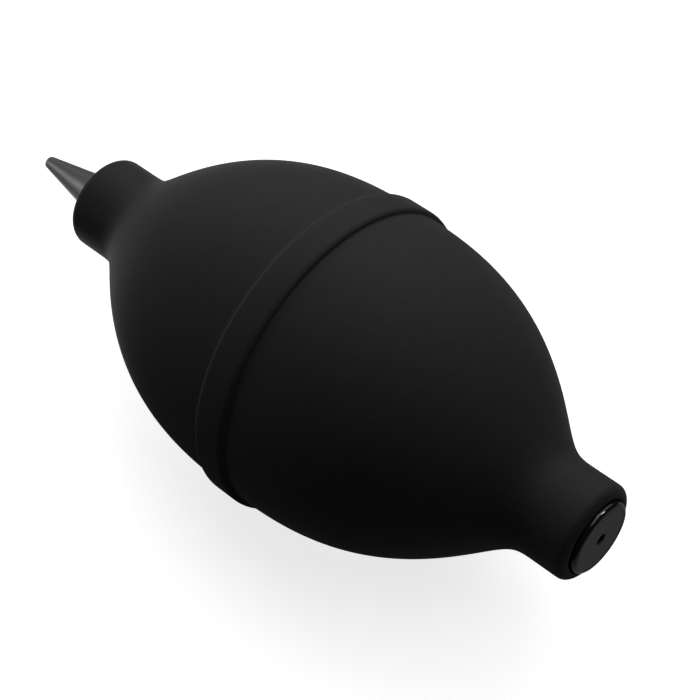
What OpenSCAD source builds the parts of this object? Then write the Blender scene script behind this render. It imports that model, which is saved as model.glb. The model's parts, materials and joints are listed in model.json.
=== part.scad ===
/* [Bulb] */
// Diameter over the raised band round the middle
band_d = 58; // [52:0.5:64]
// Width of the raised band
band_w = 6; // [4:0.5:8]
// Height of the band above the belly
band_step = 0.9; // [0.7:0.1:1.4]
// Distance from the middle to the end of each neck
neck_end = 56; // [54:0.5:62]
// Outside diameter of both necks
neck_d = 17.3; // [16.5:0.1:19]
// Wall thickness of the belly
wall = 2.2; // [1.6:0.1:3]
// Rounding of the neck lips
lip_round = 1.7; // [0.4:0.1:1.8]

/* [Squeeze wall] */
// Half length of the wall patch that a thumb presses in
patch_half_l = 30; // [24:1:32]
// Half width of the same patch
patch_half_w = 18; // [14:1:20]
// Gap round the patch
patch_gap = 0.25; // [0.2:0.05:0.4]

/* [End fittings] */
// Diameter of the inlet plug's cap and of the nozzle socket's flange
cap_d = 13; // [12.6:0.1:13.4]
// How far the plug stands out of the rear neck
cap_out = 1; // [0.8:0.1:2]
// Depth of the recess that each cap sits in
cap_in = 1.8; // [1.4:0.1:2.2]
// Diameter of the air hole in the plug
inlet_d = 2; // [1.4:0.1:3]
// Outside diameter of the barbed stems
stem_d = 10.4; // [10:0.1:10.8]
// Height of the barbs
barb_h = 0.5; // [0.3:0.1:0.7]

/* [Nozzle] */
// How far the nozzle stands out of the front neck
nozzle_out = 15.5; // [12:0.1:24]
// Diameter at the foot of the cone
cone_d = 8; // [7.8:0.1:9]
// Diameter of the cone at its tip, before rounding
tip_d = 2.4; // [2.3:0.1:3]
// Diameter of the air jet
jet_d = 1; // [0.6:0.1:1]
// Diameter of the shank that plugs into the socket
shank_d = 7.1; // [6.8:0.1:7.4]

/* [Valves] */
// Diameter of each flap disc
disc_d = 6.4; // [5.8:0.1:6.8]
// Thickness of each flap disc
disc_t = 0.8; // [0.6:0.1:1]
// How far a flap disc lifts off its seat
lift = 1; // [0.6:0.1:1.2]
// Diameter of the opening in each valve seat
seat_d = 3.2; // [2.4:0.1:3.6]

/* [Hidden] */
$fn = 96;

black_silicone = [0.1, 0.1, 0.1];
black_plastic = [0.05, 0.05, 0.055];
smoke_plastic = [0.24, 0.24, 0.25];
milky_silicone = [0.82, 0.82, 0.8];
natural_plastic = [0.72, 0.72, 0.7];
grey_foam = [0.45, 0.46, 0.48];

band_r = band_d / 2;
neck_r = neck_d / 2;
cap_r = cap_d / 2;
stem_r = stem_d / 2;
cone_r = cone_d / 2;
tip_r = tip_d / 2;
jet_r = jet_d / 2;
shank_r = shank_d / 2;
disc_r = disc_d / 2;
seat_r = seat_d / 2;

// The bulb lies on its band, with its axis along X and the whole length centred on X = 0.
axis_z = band_r;
bulb_x = (cap_out - nozzle_out) / 2;

// The belly is a superellipse-like bow that would reach the axis at belly_reach.
// It runs smoothly into the neck's radius.
belly_r = band_r - band_step;
fullness = 2.6;
neck_blend = 5;
belly_reach = neck_end - 5;
neck_start = neck_end - 5.5;
belly_steps = 24;
band_round = 0.6;
arc_steps = 5;

// The cavity is the same bow, one wall further in, and it runs into the stem's bore.
cavity_r = belly_r - wall;
cavity_reach = belly_reach - 1.23 * wall;
cavity_end = neck_end - 6.5;

// Places inside an end fitting are counted inwards from the end of its neck.
edge_round = 0.7;
mouth_gap = 0.1;
chamber_r = 4.2;
cap_face_t = 2;
filter_t = 2;
seat_t = 1.6;
seat_lip = 0.4;
seat_lip_w = 0.6;
rim_chamfer = 0.15;
cage_wall = 0.6;
cage_plate_t = 1.2;
cage_hole_r = 0.9;
cage_hole_ring = 2.3;
cage_holes = 6;
snap_bead = 0.15;
snap_bead_w = 0.6;
play = 0.1;
barb_first = cap_in + 1.1;
barb_pitch = 2.2;
barb_l = 1.6;
barbs = 2;
grip_end = 8;

// Inlet side, from the mouth inwards: cap, filter, seat, disc, cage.
filter_at = cap_face_t - cap_out;
inlet_seat_at = filter_at + filter_t;
inlet_disc_at = inlet_seat_at + seat_t + seat_lip;
inlet_plate_at = inlet_disc_at + disc_t + lift + play;
plug_stem_end = inlet_plate_at + cage_plate_t + snap_bead_w + 0.4;

// Outlet side, from the mouth inwards: flange, nozzle shank, stop, cage, disc, seat.
flange_at = 0.2;
shank_in = 7.3;
stop_at = shank_in + 0.2;
stop_r = 2.8;
stop_t = 0.8;
outlet_plate_at = stop_at + stop_t;
outlet_disc_at = outlet_plate_at + cage_plate_t + play + lift;
outlet_seat_at = outlet_disc_at + disc_t + seat_lip;
socket_stem_end = outlet_seat_at + seat_t + snap_bead_w + 0.4;

// Nozzle bore and seal.
socket_bore_r = shank_r + 0.05;
nozzle_bore_r = 2.2;
jet_l = 3;
tip_round = 0.6;
seal_at = 4.5;
seal_section = 0.9;
seal_squash = 0.02;

function arc(r, c_r, c_t, from, to) = [
    for (i = [0 : arc_steps])
        let (a = from + (to - from) * i / arc_steps)
        [c_r + r * cos(a), c_t + r * sin(a)]
];

// Radius at a distance s from the middle, for a bow that ends in a tube of radius end_r.
function bow(s, r, reach, end_r) =
    let (belly = r * max(0, 1 - pow(abs(s) / reach, fullness)))
    pow(pow(belly, neck_blend) + pow(end_r, neck_blend), 1 / neck_blend);

function bow_points(from, to, r, reach, end_r) = [
    for (i = [0 : belly_steps])
        let (s = from + (to - from) * i / belly_steps)
        [i == belly_steps ? end_r : bow(s, r, reach, end_r), s]
];

function mirrored(points) = [for (i = [len(points) - 1 : -1 : 0]) [points[i][0], -points[i][1]]];

function half_outline() = concat(
    arc(band_round, band_r - band_round, band_w / 2 - band_round, 0, 90),
    bow_points(band_w / 2, neck_start, belly_r, belly_reach, neck_r),
    arc(lip_round, neck_r - lip_round, neck_end - lip_round, 0, 90)
);

function half_cavity() = concat(
    bow_points(band_w / 2, cavity_end, cavity_r, cavity_reach, stem_r),
    [[stem_r, neck_end - cap_in], [cap_r + mouth_gap, neck_end - cap_in]],
    [[cap_r + mouth_gap, neck_end + 1]]
);

// Outside of a barbed stem, from its root under the cap to its inner end.
function stem_outline(end) = concat(
    [[stem_r, cap_in]],
    [
        for (i = [0 : barbs - 1], p = [[0, 0], [barb_h, 0], [0, barb_l]])
            [stem_r + p[0], barb_first + i * barb_pitch + p[1]]
    ],
    [[stem_r, end - 0.4], [stem_r - 0.4, end]]
);

// A body turned about X from points [radius, distance along X].
module turned(points) {
    rotate([0, 90, 0])
        rotate_extrude()
            polygon(points);
}

// A round bar along X; bores are cut with it too.
module bar(r, from, to) {
    translate([from, 0, 0])
        rotate([0, 90, 0])
            cylinder(r = r, h = to - from);
}

module on_axis() {
    translate([bulb_x, 0, axis_z])
        children();
}

// Rear neck: distances inwards run along +X.
module rear_end() {
    translate([bulb_x - neck_end, 0, axis_z])
        children();
}

// Front neck: the same, seen in a mirror.
module front_end() {
    translate([bulb_x + neck_end, 0, axis_z])
        mirror([1, 0, 0])
            children();
}

module barb_grooves() {
    turned(concat([[0, cap_in]], stem_outline(grip_end), [[0, grip_end]]));
}

module bulb_body() {
    outline = concat([[0, -neck_end]], mirrored(half_outline()), half_outline(), [[0, neck_end]]);
    cavity = concat([[0, -neck_end - 1]], mirrored(half_cavity()), half_cavity(), [[0, neck_end + 1]]);
    difference() {
        on_axis()
            turned(outline);
        on_axis()
            turned(cavity);
        rear_end()
            barb_grooves();
        front_end()
            barb_grooves();
    }
}

// Upright prism with round ends that marks off the pressed patch of the upper wall.
module patch(inset) {
    end_r = patch_half_w - inset;
    end_x = patch_half_l - patch_half_w;
    translate([bulb_x, 0, axis_z]) {
        for (side = [-1, 1])
            translate([side * end_x, 0, 0])
                cylinder(r = end_r, h = band_r + 1);
        translate([-end_x, -end_r, 0])
            cube([2 * end_x, 2 * end_r, band_r + 1]);
    }
}

module bulb_shell() {
    color(black_silicone)
        difference() {
            bulb_body();
            patch(0);
        }
}

module squeeze_wall() {
    color(black_silicone)
        intersection() {
            bulb_body();
            patch(patch_gap);
        }
}

// Ring with a raised lip round its opening; the lip faces inwards along +X.
module valve_seat(at) {
    turned([
        [seat_r, at], [chamber_r, at], [chamber_r, at + seat_t],
        [seat_r + seat_lip_w, at + seat_t], [seat_r + seat_lip_w, at + seat_t + seat_lip],
        [seat_r, at + seat_t + seat_lip]
    ]);
}

// Flap disc with chamfered rims.
module valve_disc(at) {
    turned([
        [0, at], [disc_r - rim_chamfer, at], [disc_r, at + rim_chamfer],
        [disc_r, at + disc_t - rim_chamfer], [disc_r - rim_chamfer, at + disc_t], [0, at + disc_t]
    ]);
}

// Pierced plate with a rim that keeps the disc in line.
module valve_cage(plate_at, rim_to) {
    rim_from = min(plate_at, rim_to);
    rim_end = max(plate_at + cage_plate_t, rim_to);
    difference() {
        bar(chamber_r, rim_from, rim_end);
        if (rim_to < plate_at)
            bar(chamber_r - cage_wall, rim_to - 1, plate_at);
        else
            bar(chamber_r - cage_wall, plate_at + cage_plate_t, rim_to + 1);
        for (i = [0 : cage_holes - 1])
            rotate([i * 360 / cage_holes, 0, 0])
                translate([0, cage_hole_ring, 0])
                    bar(cage_hole_r, plate_at - 1, plate_at + cage_plate_t + 1);
    }
}

module inlet_plug() {
    bead_at = inlet_plate_at + cage_plate_t;
    color(black_plastic)
        rear_end()
            turned(concat(
                [[inlet_d / 2, filter_at], [inlet_d / 2, -cap_out]],
                arc(edge_round, cap_r - edge_round, -cap_out + edge_round, -90, 0),
                [[cap_r, cap_in]],
                stem_outline(plug_stem_end),
                [[chamber_r, plug_stem_end], [chamber_r - snap_bead, bead_at + snap_bead_w]],
                [[chamber_r - snap_bead, bead_at], [chamber_r, bead_at], [chamber_r, filter_at]]
            ));
}

module inlet_filter() {
    color(grey_foam)
        rear_end()
            bar(chamber_r, filter_at, filter_at + filter_t);
}

module inlet_valve_seat() {
    color(natural_plastic)
        rear_end()
            valve_seat(inlet_seat_at);
}

module inlet_valve_disc() {
    color(milky_silicone)
        rear_end()
            valve_disc(inlet_disc_at);
}

module inlet_valve_cage() {
    color(natural_plastic)
        rear_end()
            valve_cage(inlet_plate_at, inlet_seat_at + seat_t);
}

module nozzle_socket() {
    bead_at = outlet_seat_at + seat_t;
    color(black_plastic)
        front_end()
            turned(concat(
                [[socket_bore_r, stop_at], [socket_bore_r, flange_at]],
                arc(edge_round / 2, cap_r - edge_round / 2, flange_at + edge_round / 2, -90, 0),
                [[cap_r, cap_in]],
                stem_outline(socket_stem_end),
                [[chamber_r, socket_stem_end], [chamber_r - snap_bead, bead_at + snap_bead_w]],
                [[chamber_r - snap_bead, bead_at], [chamber_r, bead_at], [chamber_r, outlet_plate_at]],
                [[stop_r, outlet_plate_at], [stop_r, stop_at]]
            ));
}

module nozzle() {
    seal_r = seal_section / 2;
    seal_c = socket_bore_r - seal_squash - seal_r;
    tip_at = -nozzle_out;
    color(smoke_plastic)
        front_end()
            difference() {
                turned(concat(
                    [[nozzle_bore_r, shank_in], [nozzle_bore_r, flange_at], [jet_r, tip_at + jet_l]],
                    [[jet_r, tip_at]],
                    arc(tip_round, tip_r - tip_round, tip_at + tip_round, -90, 0),
                    [[cone_r, 0], [cone_r, flange_at], [shank_r, flange_at]],
                    [[shank_r, shank_in - 0.3], [shank_r - 0.3, shank_in]]
                ));
                turned([
                    [seal_c - seal_r, seal_at - seal_r], [shank_r + 1, seal_at - seal_r],
                    [shank_r + 1, seal_at + seal_r], [seal_c - seal_r, seal_at + seal_r]
                ]);
            }
}

module nozzle_seal() {
    seal_r = seal_section / 2;
    color(black_silicone)
        front_end()
            translate([seal_at, 0, 0])
                rotate([0, 90, 0])
                    rotate_extrude()
                        translate([socket_bore_r - seal_squash - seal_r, 0])
                            circle(r = seal_r, $fn = 32);
}

module outlet_valve_seat() {
    color(natural_plastic)
        front_end()
            translate([2 * outlet_seat_at + seat_t, 0, 0])
                mirror([1, 0, 0])
                    valve_seat(outlet_seat_at);
}

module outlet_valve_disc() {
    color(milky_silicone)
        front_end()
            valve_disc(outlet_disc_at);
}

module outlet_valve_cage() {
    color(natural_plastic)
        front_end()
            valve_cage(outlet_plate_at, outlet_seat_at);
}

bulb_shell();
squeeze_wall();
nozzle_socket();
nozzle();
nozzle_seal();
outlet_valve_seat();
outlet_valve_disc();
outlet_valve_cage();
inlet_plug();
inlet_filter();
inlet_valve_seat();
inlet_valve_disc();
inlet_valve_cage();
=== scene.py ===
"""Dust blower bulb: a silicone bulb with an inlet plug and an air nozzle, on a pale studio floor."""
import json
import math

import bmesh
import bpy
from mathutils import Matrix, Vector, noise


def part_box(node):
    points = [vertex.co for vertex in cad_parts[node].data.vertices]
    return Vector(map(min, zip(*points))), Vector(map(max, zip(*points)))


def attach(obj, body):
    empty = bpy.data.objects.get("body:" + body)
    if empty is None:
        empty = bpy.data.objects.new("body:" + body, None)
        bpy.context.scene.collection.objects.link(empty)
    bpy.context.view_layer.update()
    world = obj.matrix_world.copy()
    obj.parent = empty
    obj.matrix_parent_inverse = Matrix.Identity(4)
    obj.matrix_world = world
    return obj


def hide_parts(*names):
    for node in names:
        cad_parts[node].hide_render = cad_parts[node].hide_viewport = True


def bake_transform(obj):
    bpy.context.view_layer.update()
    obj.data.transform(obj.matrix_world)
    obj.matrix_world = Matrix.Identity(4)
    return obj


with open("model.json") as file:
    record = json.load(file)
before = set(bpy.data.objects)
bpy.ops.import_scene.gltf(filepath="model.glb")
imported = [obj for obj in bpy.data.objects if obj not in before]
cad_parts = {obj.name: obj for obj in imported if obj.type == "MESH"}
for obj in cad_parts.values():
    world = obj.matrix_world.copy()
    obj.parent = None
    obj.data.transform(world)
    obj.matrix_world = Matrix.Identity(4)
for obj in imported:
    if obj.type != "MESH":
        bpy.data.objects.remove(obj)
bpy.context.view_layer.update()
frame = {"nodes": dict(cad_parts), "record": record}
MM = 0.001
TURN = 2 * math.pi

# ---------------------------------------------------------------- places from the frame
mounts = {m["name"]: m for m in frame["record"]["mounts"]}
shell_low, shell_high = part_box("bulb_shell")
plug_low, plug_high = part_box("inlet_plug")
nozzle_low, nozzle_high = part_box("nozzle")
socket_low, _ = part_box("nozzle_socket")
middle_x = (shell_low.x + shell_high.x) / 2
axis_z = mounts["air_outlet"]["pos_m"][2]
middle = Vector((middle_x, 0, axis_z))

NECK_END = (shell_high.x - shell_low.x) / 2
NECK_R = mounts["front_neck"]["dims"]["r_mm"] * MM
BAND_R = axis_z
CAP_OUT = shell_low.x - plug_low.x
CAP_R = (plug_high.z - plug_low.z) / 2
INLET_R = mounts["air_inlet"]["dims"]["r_mm"] * MM
JET_R = mounts["air_outlet"]["dims"]["r_mm"] * MM
JET_LENGTH = mounts["air_outlet"]["dims"]["length_mm"] * MM
NOZZLE_OUT = nozzle_high.x - shell_high.x
CONE_R = (nozzle_high.z - nozzle_low.z) / 2
SHANK_IN = shell_high.x - nozzle_low.x
SOCKET_DEPTH = shell_high.x - socket_low.x
PLUG_DEPTH = plug_high.x - shell_low.x

# ---------------------------------------------------------------- the bulb's own shape
BAND_W = 6 * MM
BAND_STEP = 0.9 * MM
BAND_EDGE = 0.75 * MM
BAND_EDGE_LONG = 0.95 * MM
BAND_FOOT = 0.35 * MM
BELLY_R = BAND_R - BAND_STEP
BELLY_REACH = NECK_END - 5 * MM
FULLNESS = 2.6
NECK_BLEND = 5
WALL = 2.2 * MM
CAVITY_R = BELLY_R - WALL
CAVITY_REACH = BELLY_REACH - 1.23 * WALL
CAVITY_END = NECK_END - 6.5 * MM
LIP_OUTER = 1.55 * MM
LIP_INNER = 0.45 * MM
MOUTH_R = CAP_R + 0.1 * MM
CAP_IN = 1.8 * MM
STEM_R = 5.2 * MM
SEGMENTS = 224

# ---------------------------------------------------------------- the fittings
CHAMBER_R = 4.2 * MM
BARB_H = 0.5 * MM
BARB_LENGTH = 1.6 * MM
BARB_FIRST = 2.9 * MM
BARB_PITCH = 2.2 * MM
CAP_FACE = 2 * MM
RIM_ROUND = 0.7 * MM
FACE_R = CAP_R - RIM_ROUND
FACE_DISH = 0.08 * MM
HOLE_CHAMFER = 0.12 * MM
FLANGE_AT = 0.2 * MM
SHANK_R = 3.55 * MM
TIP_R = 1.2 * MM
TIP_ROUND = 0.62 * MM
NOZZLE_BORE_R = 2.2 * MM
SEAL_AT = 4.5 * MM
SEAL_HALF = 0.45 * MM
SEAL_FLOOR_R = 2.68 * MM
SOCKET_BORE_R = SHANK_R + 0.05 * MM
STOP_AT = SHANK_IN + 0.2 * MM
STOP_R = 2.8 * MM
STOP_END = STOP_AT + 0.8 * MM
EDGE = 0.15 * MM
PARTING_RIDGE = 0.03 * MM
RIDGE_WIDTH = 0.12 * MM
FITTING_SEGMENTS = 128
SMALL_EDGE = 0.08 * MM
PORE = 0.16 * MM
FOAM_RINGS = 30
FOAM_EDGE_RINGS = 6
FOAM_SEGMENTS = 160


# ---------------------------------------------------------------- mesh helpers
def arc(centre, radius, start, stop, steps=8):
    """Points (along, radius) on an arc; angles in degrees from the +along direction."""
    points = []
    for i in range(steps + 1):
        angle = math.radians(start + (stop - start) * i / steps)
        points.append((centre[0] + radius * math.cos(angle), centre[1] + radius * math.sin(angle)))
    return points


def stretch(start, stop, steps):
    """Evenly spaced values from start to stop."""
    return [start + (stop - start) * i / steps for i in range(steps + 1)]


def finish_mesh(name, bm, sharp_degrees=40):
    bmesh.ops.remove_doubles(bm, verts=bm.verts, dist=1e-7)
    bmesh.ops.recalc_face_normals(bm, faces=bm.faces)
    mesh = bpy.data.meshes.new(name)
    bm.to_mesh(mesh)
    bm.free()
    for polygon in mesh.polygons:
        polygon.use_smooth = True
    mesh.set_sharp_from_angle(angle=math.radians(sharp_degrees))
    piece = bpy.data.objects.new(name, mesh)
    bpy.context.scene.collection.objects.link(piece)
    return piece


def lathe(name, outline, ridge=0.0, segments=SEGMENTS):
    """Turns a closed outline of (along, radius) points about the bulb's axis.

    along is measured from the bulb's middle towards the nozzle. ridge is the height of a
    mould's parting line, drawn on both sides of the piece where the radius is outermost.
    """
    bm = bmesh.new()
    rings = []
    for along, radius in outline:
        ring = []
        for k in range(segments):
            angle = TURN * k / segments
            lift = ridge * math.exp(-((math.sin(angle) * radius / RIDGE_WIDTH) ** 2))
            r = radius + lift
            ring.append(bm.verts.new((middle_x + along, r * math.cos(angle), axis_z + r * math.sin(angle))))
        rings.append(ring)
    for i, ring in enumerate(rings):
        following = rings[(i + 1) % len(rings)]
        for k in range(segments):
            nearby = (k + 1) % segments
            bm.faces.new((ring[k], ring[nearby], following[nearby], following[k]))
    return finish_mesh(name, bm)


def bow(s, radius, reach, end_r):
    """Radius of a bow at s from its middle: full in the middle, running into a tube at the ends."""
    belly = radius * max(0.0, 1 - (abs(s) / reach) ** FULLNESS)
    return (belly**NECK_BLEND + end_r**NECK_BLEND) ** (1 / NECK_BLEND)


def at_front(points):
    """Points counted inwards from the front neck's end, as places along the axis."""
    return [(NECK_END - depth, radius) for depth, radius in points]


def at_rear(points):
    return [(depth - NECK_END, radius) for depth, radius in points]


# ---------------------------------------------------------------- outlines
def bulb_outline():
    half_band = BAND_W / 2
    foot = half_band + BAND_FOOT
    foot_r = bow(foot, BELLY_R, BELLY_REACH, NECK_R)
    outer = []
    for along, radius in arc((0, BAND_R - BAND_EDGE), BAND_EDGE, 90, 0):
        outer.append((half_band - BAND_EDGE_LONG + along * BAND_EDGE_LONG / BAND_EDGE, radius))
    outer += arc((foot, foot_r + BAND_FOOT), BAND_FOOT, 180, 270)
    places = stretch(foot, NECK_END - LIP_OUTER, 84)[1:-1]
    outer += [(s, bow(s, BELLY_R, BELLY_REACH, NECK_R)) for s in places]
    outer += arc((NECK_END - LIP_OUTER, NECK_R - LIP_OUTER), LIP_OUTER, 90, 0, 12)
    outer += arc((NECK_END - LIP_INNER, MOUTH_R + LIP_INNER), LIP_INNER, 0, -90, 4)
    inner = [(NECK_END - CAP_IN, MOUTH_R), (NECK_END - CAP_IN, STEM_R)]
    inner += [(s, bow(s, CAVITY_R, CAVITY_REACH, STEM_R)) for s in stretch(CAVITY_END, 0, 48)]
    front = outer + inner
    rear = [(-s, r) for s, r in reversed(front)]
    return front + rear[1:]


def barbs(end):
    """Outside of a barbed stem, from the cap's underside to the stem's inner end."""
    points = [(CAP_IN, STEM_R)]
    for first in (BARB_FIRST, BARB_FIRST + BARB_PITCH):
        points += [(first, STEM_R), (first + 0.05 * MM, STEM_R + BARB_H)]
        points += [(first + 0.25 * MM, STEM_R + BARB_H), (first + BARB_LENGTH, STEM_R)]
    return points + [(end - 0.4 * MM, STEM_R), (end, STEM_R - 0.4 * MM)]


def plug_outline():
    face = -CAP_OUT
    points = [(face + CAP_FACE, INLET_R), (face + FACE_DISH + HOLE_CHAMFER, INLET_R)]
    points += [(face + FACE_DISH, INLET_R + HOLE_CHAMFER), (face + FACE_DISH, FACE_R - FACE_DISH)]
    points += [(face, FACE_R)]
    points += arc((face + RIM_ROUND, CAP_R - RIM_ROUND), RIM_ROUND, 180, 90, 14)
    points += [(CAP_IN, CAP_R)] + barbs(PLUG_DEPTH)
    points += [(PLUG_DEPTH, CHAMBER_R), (face + CAP_FACE, CHAMBER_R)]
    return at_rear(points)


def socket_outline():
    points = [(STOP_AT, SOCKET_BORE_R), (FLANGE_AT + EDGE, SOCKET_BORE_R)]
    points += [(FLANGE_AT, SOCKET_BORE_R + EDGE)]
    points += arc((FLANGE_AT + 3 * EDGE, CAP_R - 3 * EDGE), 3 * EDGE, 180, 90)
    points += [(CAP_IN, CAP_R)] + barbs(SOCKET_DEPTH)
    points += [(SOCKET_DEPTH, CHAMBER_R), (STOP_END, CHAMBER_R)]
    points += [(STOP_END, STOP_R), (STOP_AT, STOP_R)]
    return at_front(points)


def nozzle_outline():
    tip = -NOZZLE_OUT
    points = [(SHANK_IN, NOZZLE_BORE_R), (FLANGE_AT, NOZZLE_BORE_R), (tip + JET_LENGTH, JET_R)]
    points += [(tip + EDGE / 2, JET_R), (tip, JET_R + EDGE / 2)]
    points += arc((tip + TIP_ROUND, TIP_R - TIP_ROUND), TIP_ROUND, 180, 101, 8)
    start_depth, start_r = points[-1]
    for depth in stretch(start_depth, -EDGE, 24)[1:]:
        share = (depth - start_depth) / (-EDGE - start_depth)
        points.append((depth, start_r + (CONE_R - start_r) * share))
    points += [(0, CONE_R), (FLANGE_AT, CONE_R - EDGE), (FLANGE_AT, SHANK_R)]
    points += [(SEAL_AT - SEAL_HALF, SHANK_R), (SEAL_AT - SEAL_HALF, SEAL_FLOOR_R)]
    points += [(SEAL_AT + SEAL_HALF, SEAL_FLOOR_R), (SEAL_AT + SEAL_HALF, SHANK_R)]
    points += [(SHANK_IN - 2 * EDGE, SHANK_R), (SHANK_IN, SHANK_R - 2 * EDGE)]
    return at_front(points)


# ---------------------------------------------------------------- shader helpers
class Shader:
    """A Principled material with short calls for the nodes that it needs."""

    def __init__(self, name, **sockets):
        self.material = bpy.data.materials.new(name)
        self.material.use_nodes = True
        self.tree = self.material.node_tree
        self.surface = self.tree.nodes["Principled BSDF"]
        for socket, value in sockets.items():
            self.surface.inputs[socket.replace("_", " ")].default_value = value
        self.place = self.add("ShaderNodeTexCoord").outputs["Object"]

    def add(self, kind, **settings):
        made = self.tree.nodes.new(kind)
        for key, value in settings.items():
            setattr(made, key, value)
        return made

    def join(self, source, target):
        if isinstance(source, (int, float)):
            target.default_value = source
        else:
            self.tree.links.new(source, target)

    def math(self, operation, first, second=0.0):
        made = self.add("ShaderNodeMath", operation=operation)
        self.join(first, made.inputs[0])
        self.join(second, made.inputs[1])
        return made.outputs[0]

    def noise(self, size, detail=2.0, where=None, stretch_by=None):
        """Noise whose features are about size metres across, from 0 to 1."""
        where = where or self.place
        if stretch_by:
            mapping = self.add("ShaderNodeMapping")
            mapping.inputs["Scale"].default_value = stretch_by
            self.join(where, mapping.inputs["Vector"])
            where = mapping.outputs[0]
        made = self.add("ShaderNodeTexNoise")
        made.inputs["Scale"].default_value = 1 / size
        made.inputs["Detail"].default_value = detail
        self.join(where, made.inputs["Vector"])
        return made.outputs[0]

    def spots(self, size):
        """Distance to scattered points about size metres apart, in cells."""
        made = self.add("ShaderNodeTexVoronoi")
        made.inputs["Scale"].default_value = 1 / size
        self.join(self.place, made.inputs["Vector"])
        return made.outputs["Distance"]

    def between(self, value, low, high, out_low, out_high):
        """value from low..high spread over out_low..out_high, held at the ends."""
        made = self.add("ShaderNodeMapRange", clamp=True)
        self.join(value, made.inputs["Value"])
        limits = {"From Min": low, "From Max": high, "To Min": out_low, "To Max": out_high}
        for socket, number in limits.items():
            made.inputs[socket].default_value = number
        return made.outputs[0]

    def colours(self, share, first, second):
        """A colour that goes from first to second as share goes from 0 to 1."""
        made = self.add("ShaderNodeMix", data_type="RGBA")
        self.join(share, made.inputs[0])
        made.inputs[6].default_value = (*first, 1)
        made.inputs[7].default_value = (*second, 1)
        return made.outputs[2]

    def colour(self, share, first, second):
        self.join(self.colours(share, first, second), self.surface.inputs["Base Color"])

    def roughness(self, value):
        self.join(value, self.surface.inputs["Roughness"])

    def bump(self, *heights):
        """Stacks bumps of (height output, depth in metres)."""
        normal = None
        for height, depth in heights:
            made = self.add("ShaderNodeBump")
            made.inputs["Distance"].default_value = depth
            self.join(height, made.inputs["Height"])
            if normal:
                self.join(normal, made.inputs["Normal"])
            normal = made.outputs["Normal"]
        self.join(normal, self.surface.inputs["Normal"])

    def from_middle(self):
        """Distance along the axis from the bulb's middle, and distance from the axis."""
        shifted = self.add("ShaderNodeVectorMath", operation="SUBTRACT")
        self.join(self.place, shifted.inputs[0])
        shifted.inputs[1].default_value = middle
        parts = self.add("ShaderNodeSeparateXYZ")
        self.join(shifted.outputs[0], parts.inputs[0])
        along = self.math("ABSOLUTE", parts.outputs["X"])
        across = self.math("POWER", parts.outputs["Y"], 2)
        up = self.math("POWER", parts.outputs["Z"], 2)
        return along, self.math("SQRT", self.math("ADD", across, up))


# ---------------------------------------------------------------- materials
def black_silicone():
    shader = Shader("black_silicone", IOR=1.41, Sheen_Weight=0.1, Sheen_Roughness=0.4)
    along, _ = shader.from_middle()
    clouds = shader.noise(18 * MM, 3)
    mottle = shader.noise(1.6 * MM, 3)
    grain = shader.noise(0.22 * MM, 3)
    specks = shader.between(shader.spots(2.6 * MM), 0.0, 0.045, 1, 0)
    # Painted highlight: the colour is lighter next to each band edge and fades out by 0.9 mm. It stands in
    # for the light that the band's rounded edges catch.
    edge_away = shader.math("ABSOLUTE", shader.math("SUBTRACT", along, BAND_W / 2))
    edge = shader.between(edge_away, 0.2 * MM, 0.9 * MM, 0.3, 0)
    tone = shader.math("ADD", shader.math("MULTIPLY", clouds, 0.5), shader.math("MULTIPLY", mottle, 0.25))
    tone = shader.math("MAXIMUM", shader.math("ADD", tone, edge), shader.math("MULTIPLY", specks, 0.9))
    shader.colour(tone, (0.008, 0.008, 0.0085), (0.028, 0.028, 0.029))
    shader.roughness(shader.between(shader.math("ADD", clouds, grain), 0.6, 1.4, 0.7, 0.82))
    shader.bump((clouds, 0.1 * MM), (mottle, 0.012 * MM), (grain, 0.02 * MM))
    return shader.material


def polished_plastic():
    """The inlet plug: polished rim and side, and a finely textured face whose lighter grey colour is a
    painted reflection.
    """
    shader = Shader("polished_black_plastic", IOR=1.5)
    along, radius = shader.from_middle()
    on_end = shader.between(along, NECK_END + CAP_OUT - 0.35 * MM, NECK_END + CAP_OUT - 0.2 * MM, 0, 1)
    on_face = shader.math("MULTIPLY", on_end, shader.between(radius, FACE_R - 0.1 * MM, FACE_R, 1, 0))
    texture = shader.noise(0.12 * MM, 2)
    hairlines = shader.noise(0.5 * MM, 3, stretch_by=(1, 6, 1))
    # Painted reflection: the face is coloured a lighter grey than the black rim. It stands in for the pale
    # reflection that the face shows.
    shader.colour(on_face, (0.004, 0.004, 0.0045), (0.03, 0.03, 0.031))
    satin = shader.math("MULTIPLY", on_face, 0.3)
    shader.roughness(shader.math("ADD", satin, shader.between(hairlines, 0.3, 0.7, 0.07, 0.13)))
    shader.bump((shader.math("MULTIPLY", texture, on_face), 0.02 * MM), (hairlines, 0.002 * MM))
    return shader.material


def smoky_plastic():
    shader = Shader("smoky_plastic", IOR=1.5)
    flow = shader.noise(0.6 * MM, 3, stretch_by=(0.12, 1, 1))
    clouds = shader.noise(4 * MM, 2)
    shader.colour(shader.math("MULTIPLY", flow, clouds), (0.022, 0.022, 0.023), (0.06, 0.06, 0.062))
    shader.roughness(shader.between(flow, 0.3, 0.7, 0.42, 0.5))
    shader.bump((flow, 0.012 * MM))
    return shader.material


def black_plastic():
    shader = Shader("moulded_black_plastic", IOR=1.5)
    texture = shader.noise(0.15 * MM, 3)
    clouds = shader.noise(3 * MM, 2)
    shader.colour(clouds, (0.008, 0.008, 0.009), (0.022, 0.022, 0.023))
    shader.roughness(shader.between(texture, 0.3, 0.7, 0.3, 0.42))
    shader.bump((texture, 0.008 * MM))
    return shader.material


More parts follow.
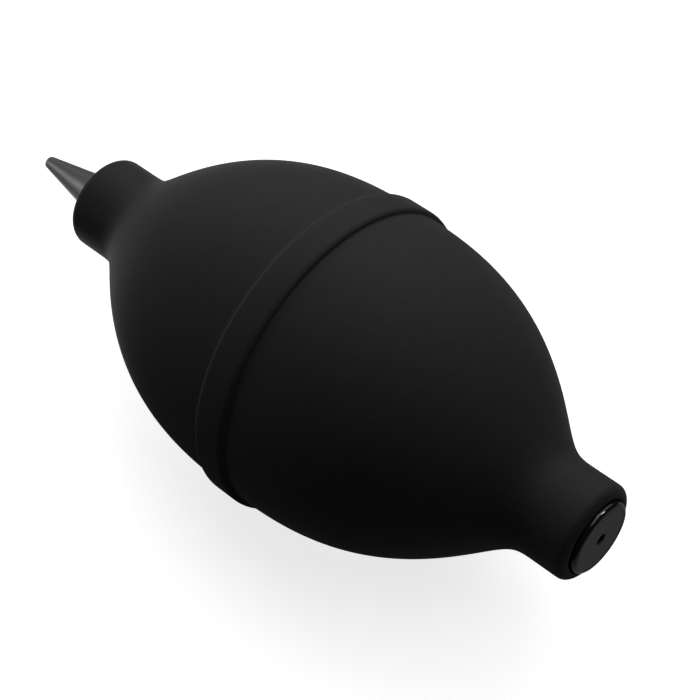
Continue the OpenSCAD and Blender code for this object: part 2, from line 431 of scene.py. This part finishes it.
def natural_plastic():
    shader = Shader("natural_plastic", IOR=1.5, Subsurface_Weight=0.25, Subsurface_Scale=0.5 * MM)
    clouds = shader.noise(2.4 * MM, 3)
    texture = shader.noise(0.14 * MM, 2)
    shader.colour(clouds, (0.58, 0.57, 0.52), (0.72, 0.71, 0.66))
    shader.roughness(shader.between(texture, 0.3, 0.7, 0.38, 0.5))
    shader.bump((texture, 0.006 * MM))
    return shader.material


def milky_silicone():
    shader = Shader("milky_silicone", IOR=1.41, Subsurface_Weight=0.5, Subsurface_Scale=0.8 * MM)
    clouds = shader.noise(1.5 * MM, 3)
    grain = shader.noise(0.1 * MM, 2)
    shader.colour(clouds, (0.7, 0.7, 0.66), (0.82, 0.82, 0.79))
    shader.roughness(shader.between(grain, 0.3, 0.7, 0.45, 0.58))
    shader.bump((grain, 0.006 * MM))
    return shader.material


def filter_foam():
    shader = Shader("filter_foam", Sheen_Weight=0.3)
    cells = shader.spots(0.35 * MM)
    tint = shader.noise(1.2 * MM, 2)
    # Painted shade in the pores: the colour is darkest at each cell's centre, where the bump sinks a pit,
    # and the tint varies it at random.
    shader.colour(shader.math("MULTIPLY", cells, tint), (0.12, 0.125, 0.135), (0.42, 0.43, 0.46))
    shader.roughness(shader.between(cells, 0.1, 0.6, 0.95, 0.75))
    shader.bump((cells, 0.12 * MM))
    return shader.material


# ---------------------------------------------------------------- pieces
def dress(piece, material):
    piece.data.materials.clear()
    piece.data.materials.append(material)
    return piece


def make_bulb(material):
    skin = lathe("bulb_skin", bulb_outline())
    dress(skin, material)
    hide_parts("bulb_shell", "squeeze_wall")
    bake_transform(skin)
    return skin


def make_turned(name, outline, material, node, body, ridge=0.0):
    piece = dress(lathe(name, outline, ridge, FITTING_SEGMENTS), material)
    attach(piece, body)
    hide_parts(node)
    return piece


def make_filter(material):
    """A foam disc with pores over its faces and round its edge, inside its CAD node's box."""
    low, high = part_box("inlet_filter")
    radius = (high.z - low.z) / 2
    near, far = low.x - middle_x, high.x - middle_x
    outline = [(near, r) for r in stretch(0, radius - PORE, FOAM_RINGS)]
    outline += [(along, radius) for along in stretch(near + PORE, far - PORE, FOAM_EDGE_RINGS)]
    outline += [(far, r) for r in stretch(radius - PORE, 0, FOAM_RINGS)]
    foam = lathe("foam_disc", outline, 0, FOAM_SEGMENTS)
    centre = (low + high) / 2
    for vertex in foam.data.vertices:
        sink = 0.5 + 0.5 * noise.noise(vertex.co / (1.6 * PORE))
        vertex.co += (centre - vertex.co).normalized() * PORE * sink
    dress(foam, material)
    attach(foam, "root")
    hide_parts("inlet_filter")


def soften(node, width):
    """Small rounded edges on a CAD node that keeps its own shape."""
    modifier = frame["nodes"][node].modifiers.new("edges", "BEVEL")
    modifier.width = width
    modifier.segments = 2
    modifier.limit_method = "ANGLE"
    modifier.angle_limit = math.radians(50)


silicone = black_silicone()
polish = polished_plastic()
smoke = smoky_plastic()
valve_plastic = natural_plastic()
valve_silicone = milky_silicone()
make_bulb(silicone)
plug_piece = make_turned("plug_moulding", plug_outline(), polish, "inlet_plug", "root")
make_turned("socket_moulding", socket_outline(), black_plastic(), "nozzle_socket", "root")
nozzle_piece = make_turned(
    "nozzle_moulding", nozzle_outline(), smoke, "nozzle", "jet", PARTING_RIDGE
)
dress(frame["nodes"]["nozzle_seal"], silicone)
make_filter(filter_foam())
for side in ("inlet", "outlet"):
    dress(frame["nodes"][side + "_valve_seat"], valve_plastic)
    dress(frame["nodes"][side + "_valve_cage"], valve_plastic)
    dress(frame["nodes"][side + "_valve_disc"], valve_silicone)
    for part in ("_valve_seat", "_valve_cage", "_valve_disc"):
        soften(side + part, SMALL_EDGE)

# ---------------------------------------------------------------- stage
COVE_RADIUS = 2.4
COVE_BEND = 0.8
COVE_STEPS = 12
COVE_SEGMENTS = 96
FLOOR_GLOW = 0.78
WORLD_GLOW = 0.026


def make_cove():
    """A pale floor that curves up into a closed wall all round."""
    bm = bmesh.new()
    outline = [(0.0, 0.0)] + [(COVE_RADIUS - COVE_BEND, 0.0)]
    for i in range(1, COVE_STEPS + 1):
        angle = math.radians(90 * i / COVE_STEPS)
        away = COVE_RADIUS - COVE_BEND * (1 - math.sin(angle))
        outline.append((away, COVE_BEND * (1 - math.cos(angle))))
    outline += [(COVE_RADIUS, COVE_RADIUS), (0.0, COVE_RADIUS)]
    rings = []
    for away, height in outline:
        ring = []
        for k in range(1 if away == 0 else COVE_SEGMENTS):
            angle = TURN * k / COVE_SEGMENTS
            ring.append(bm.verts.new((away * math.cos(angle), away * math.sin(angle), height)))
        rings.append(ring)
    for ring, following in zip(rings, rings[1:]):
        for k in range(COVE_SEGMENTS):
            nearby = (k + 1) % COVE_SEGMENTS
            if len(ring) == 1:
                bm.faces.new((ring[0], following[nearby], following[k]))
            elif len(following) == 1:
                bm.faces.new((ring[k], ring[nearby], following[0]))
            else:
                bm.faces.new((ring[k], ring[nearby], following[nearby], following[k]))
    cove = finish_mesh("studio_floor", bm, 80)
    shader = Shader("pale_floor", Roughness=0.9)
    shader.surface.inputs["Emission Strength"].default_value = FLOOR_GLOW
    paper = shader.noise(0.12, 3)
    shader.colour(paper, (0.82, 0.82, 0.82), (0.86, 0.86, 0.86))
    shader.surface.inputs["Emission Color"].default_value = (1, 1, 1, 1)
    cove.data.materials.append(shader.material)
    cove.visible_diffuse = False
    cove.visible_glossy = False
    cove.visible_shadow = False


def make_card(name, x, y, half_size, brightness):
    """A grey card on the floor that only mirrors in the object."""
    bm = bmesh.new()
    bmesh.ops.create_grid(bm, x_segments=1, y_segments=1, size=half_size)
    card = finish_mesh(name, bm)
    shader = Shader(name, Roughness=0.9)
    shader.surface.inputs["Emission Strength"].default_value = brightness
    shader.surface.inputs["Emission Color"].default_value = (1, 1, 1, 1)
    shader.colour(shader.noise(0.1, 2), (0.1, 0.1, 0.1), (0.12, 0.12, 0.12))
    card.data.materials.append(shader.material)
    card.location = (x, y, -1 * MM)
    card.visible_camera = False
    card.visible_diffuse = False
    card.visible_shadow = False


def direction(azimuth, elevation):
    """From the object: azimuth 0 is -Y and 90 is +X; elevation is above the floor, in degrees."""
    a, e = math.radians(azimuth), math.radians(elevation)
    return Vector((math.sin(a) * math.cos(e), -math.cos(a) * math.cos(e), math.sin(e)))


def softbox(name, azimuth, elevation, away, width, height, power):
    """A rectangular light that faces the bulb's middle; metres and watts."""
    light = bpy.data.lights.new(name, "AREA")
    light.shape = "RECTANGLE"
    light.size = width
    light.size_y = height
    light.energy = power
    lamp = bpy.data.objects.new(name, light)
    bpy.context.scene.collection.objects.link(lamp)
    toward = direction(azimuth, elevation)
    lamp.location = middle + toward * away
    lamp.rotation_mode = "QUATERNION"
    lamp.rotation_quaternion = toward.to_track_quat("Z", "Y")
    lamp.visible_camera = False
    return lamp


def keep_light_to(lamp, piece):
    """Lets a light fall on one piece alone."""
    group = bpy.data.collections.new(lamp.name + "_pieces")
    group.objects.link(piece)
    lamp.light_linking.receiver_collection = group


make_cove()
make_card("plug_card", x=plug_low.x - 0.07, y=-0.06, half_size=0.1, brightness=0.1)
make_card("nozzle_card", x=nozzle_high.x + 0.04, y=-0.05, half_size=0.07, brightness=1.5)
softbox("back_softbox", 42, 44, 1.0, 1.6, 1.2, 7)
softbox("top_softbox", 300, 78, 0.9, 0.8, 0.6, 1.9)
softbox("side_fill", 124, 9, 0.9, 0.28, 0.6, 0.6)
nozzle_light = softbox("nozzle_light", 127, 19, 0.6, 0.5, 0.2, 2.1)
keep_light_to(nozzle_light, nozzle_piece)
rim_light = softbox("rim_light", 321, 50, 0.8, 0.12, 0.22, 2)
keep_light_to(rim_light, plug_piece)

world = bpy.data.worlds.new("studio")
bpy.context.scene.world = world
world.use_nodes = True
world.node_tree.nodes["Background"].inputs["Color"].default_value = (1, 1, 1, 1)
world.node_tree.nodes["Background"].inputs["Strength"].default_value = WORLD_GLOW

# ---------------------------------------------------------------- camera
VIEW_AZIMUTH = 222.85
VIEW_ELEVATION = 47.07
VIEW_DISTANCE = 0.3178
AIM_RIGHT = 3.2 * MM
AIM_UP = 0.76 * MM
LENS = 97.7


def make_camera():
    data = bpy.data.cameras.new("camera")
    data.lens = LENS
    data.sensor_width = 36
    data.clip_start = 0.01
    data.clip_end = 20
    camera = bpy.data.objects.new("camera", data)
    bpy.context.scene.collection.objects.link(camera)
    back = direction(VIEW_AZIMUTH, VIEW_ELEVATION)
    turn = back.to_track_quat("Z", "Y")
    aim = middle + turn @ Vector((AIM_RIGHT, AIM_UP, 0))
    camera.location = aim + back * VIEW_DISTANCE
    camera.rotation_mode = "QUATERNION"
    camera.rotation_quaternion = turn
    bpy.context.scene.camera = camera


make_camera()
bpy.context.scene.view_settings.view_transform = "Standard"
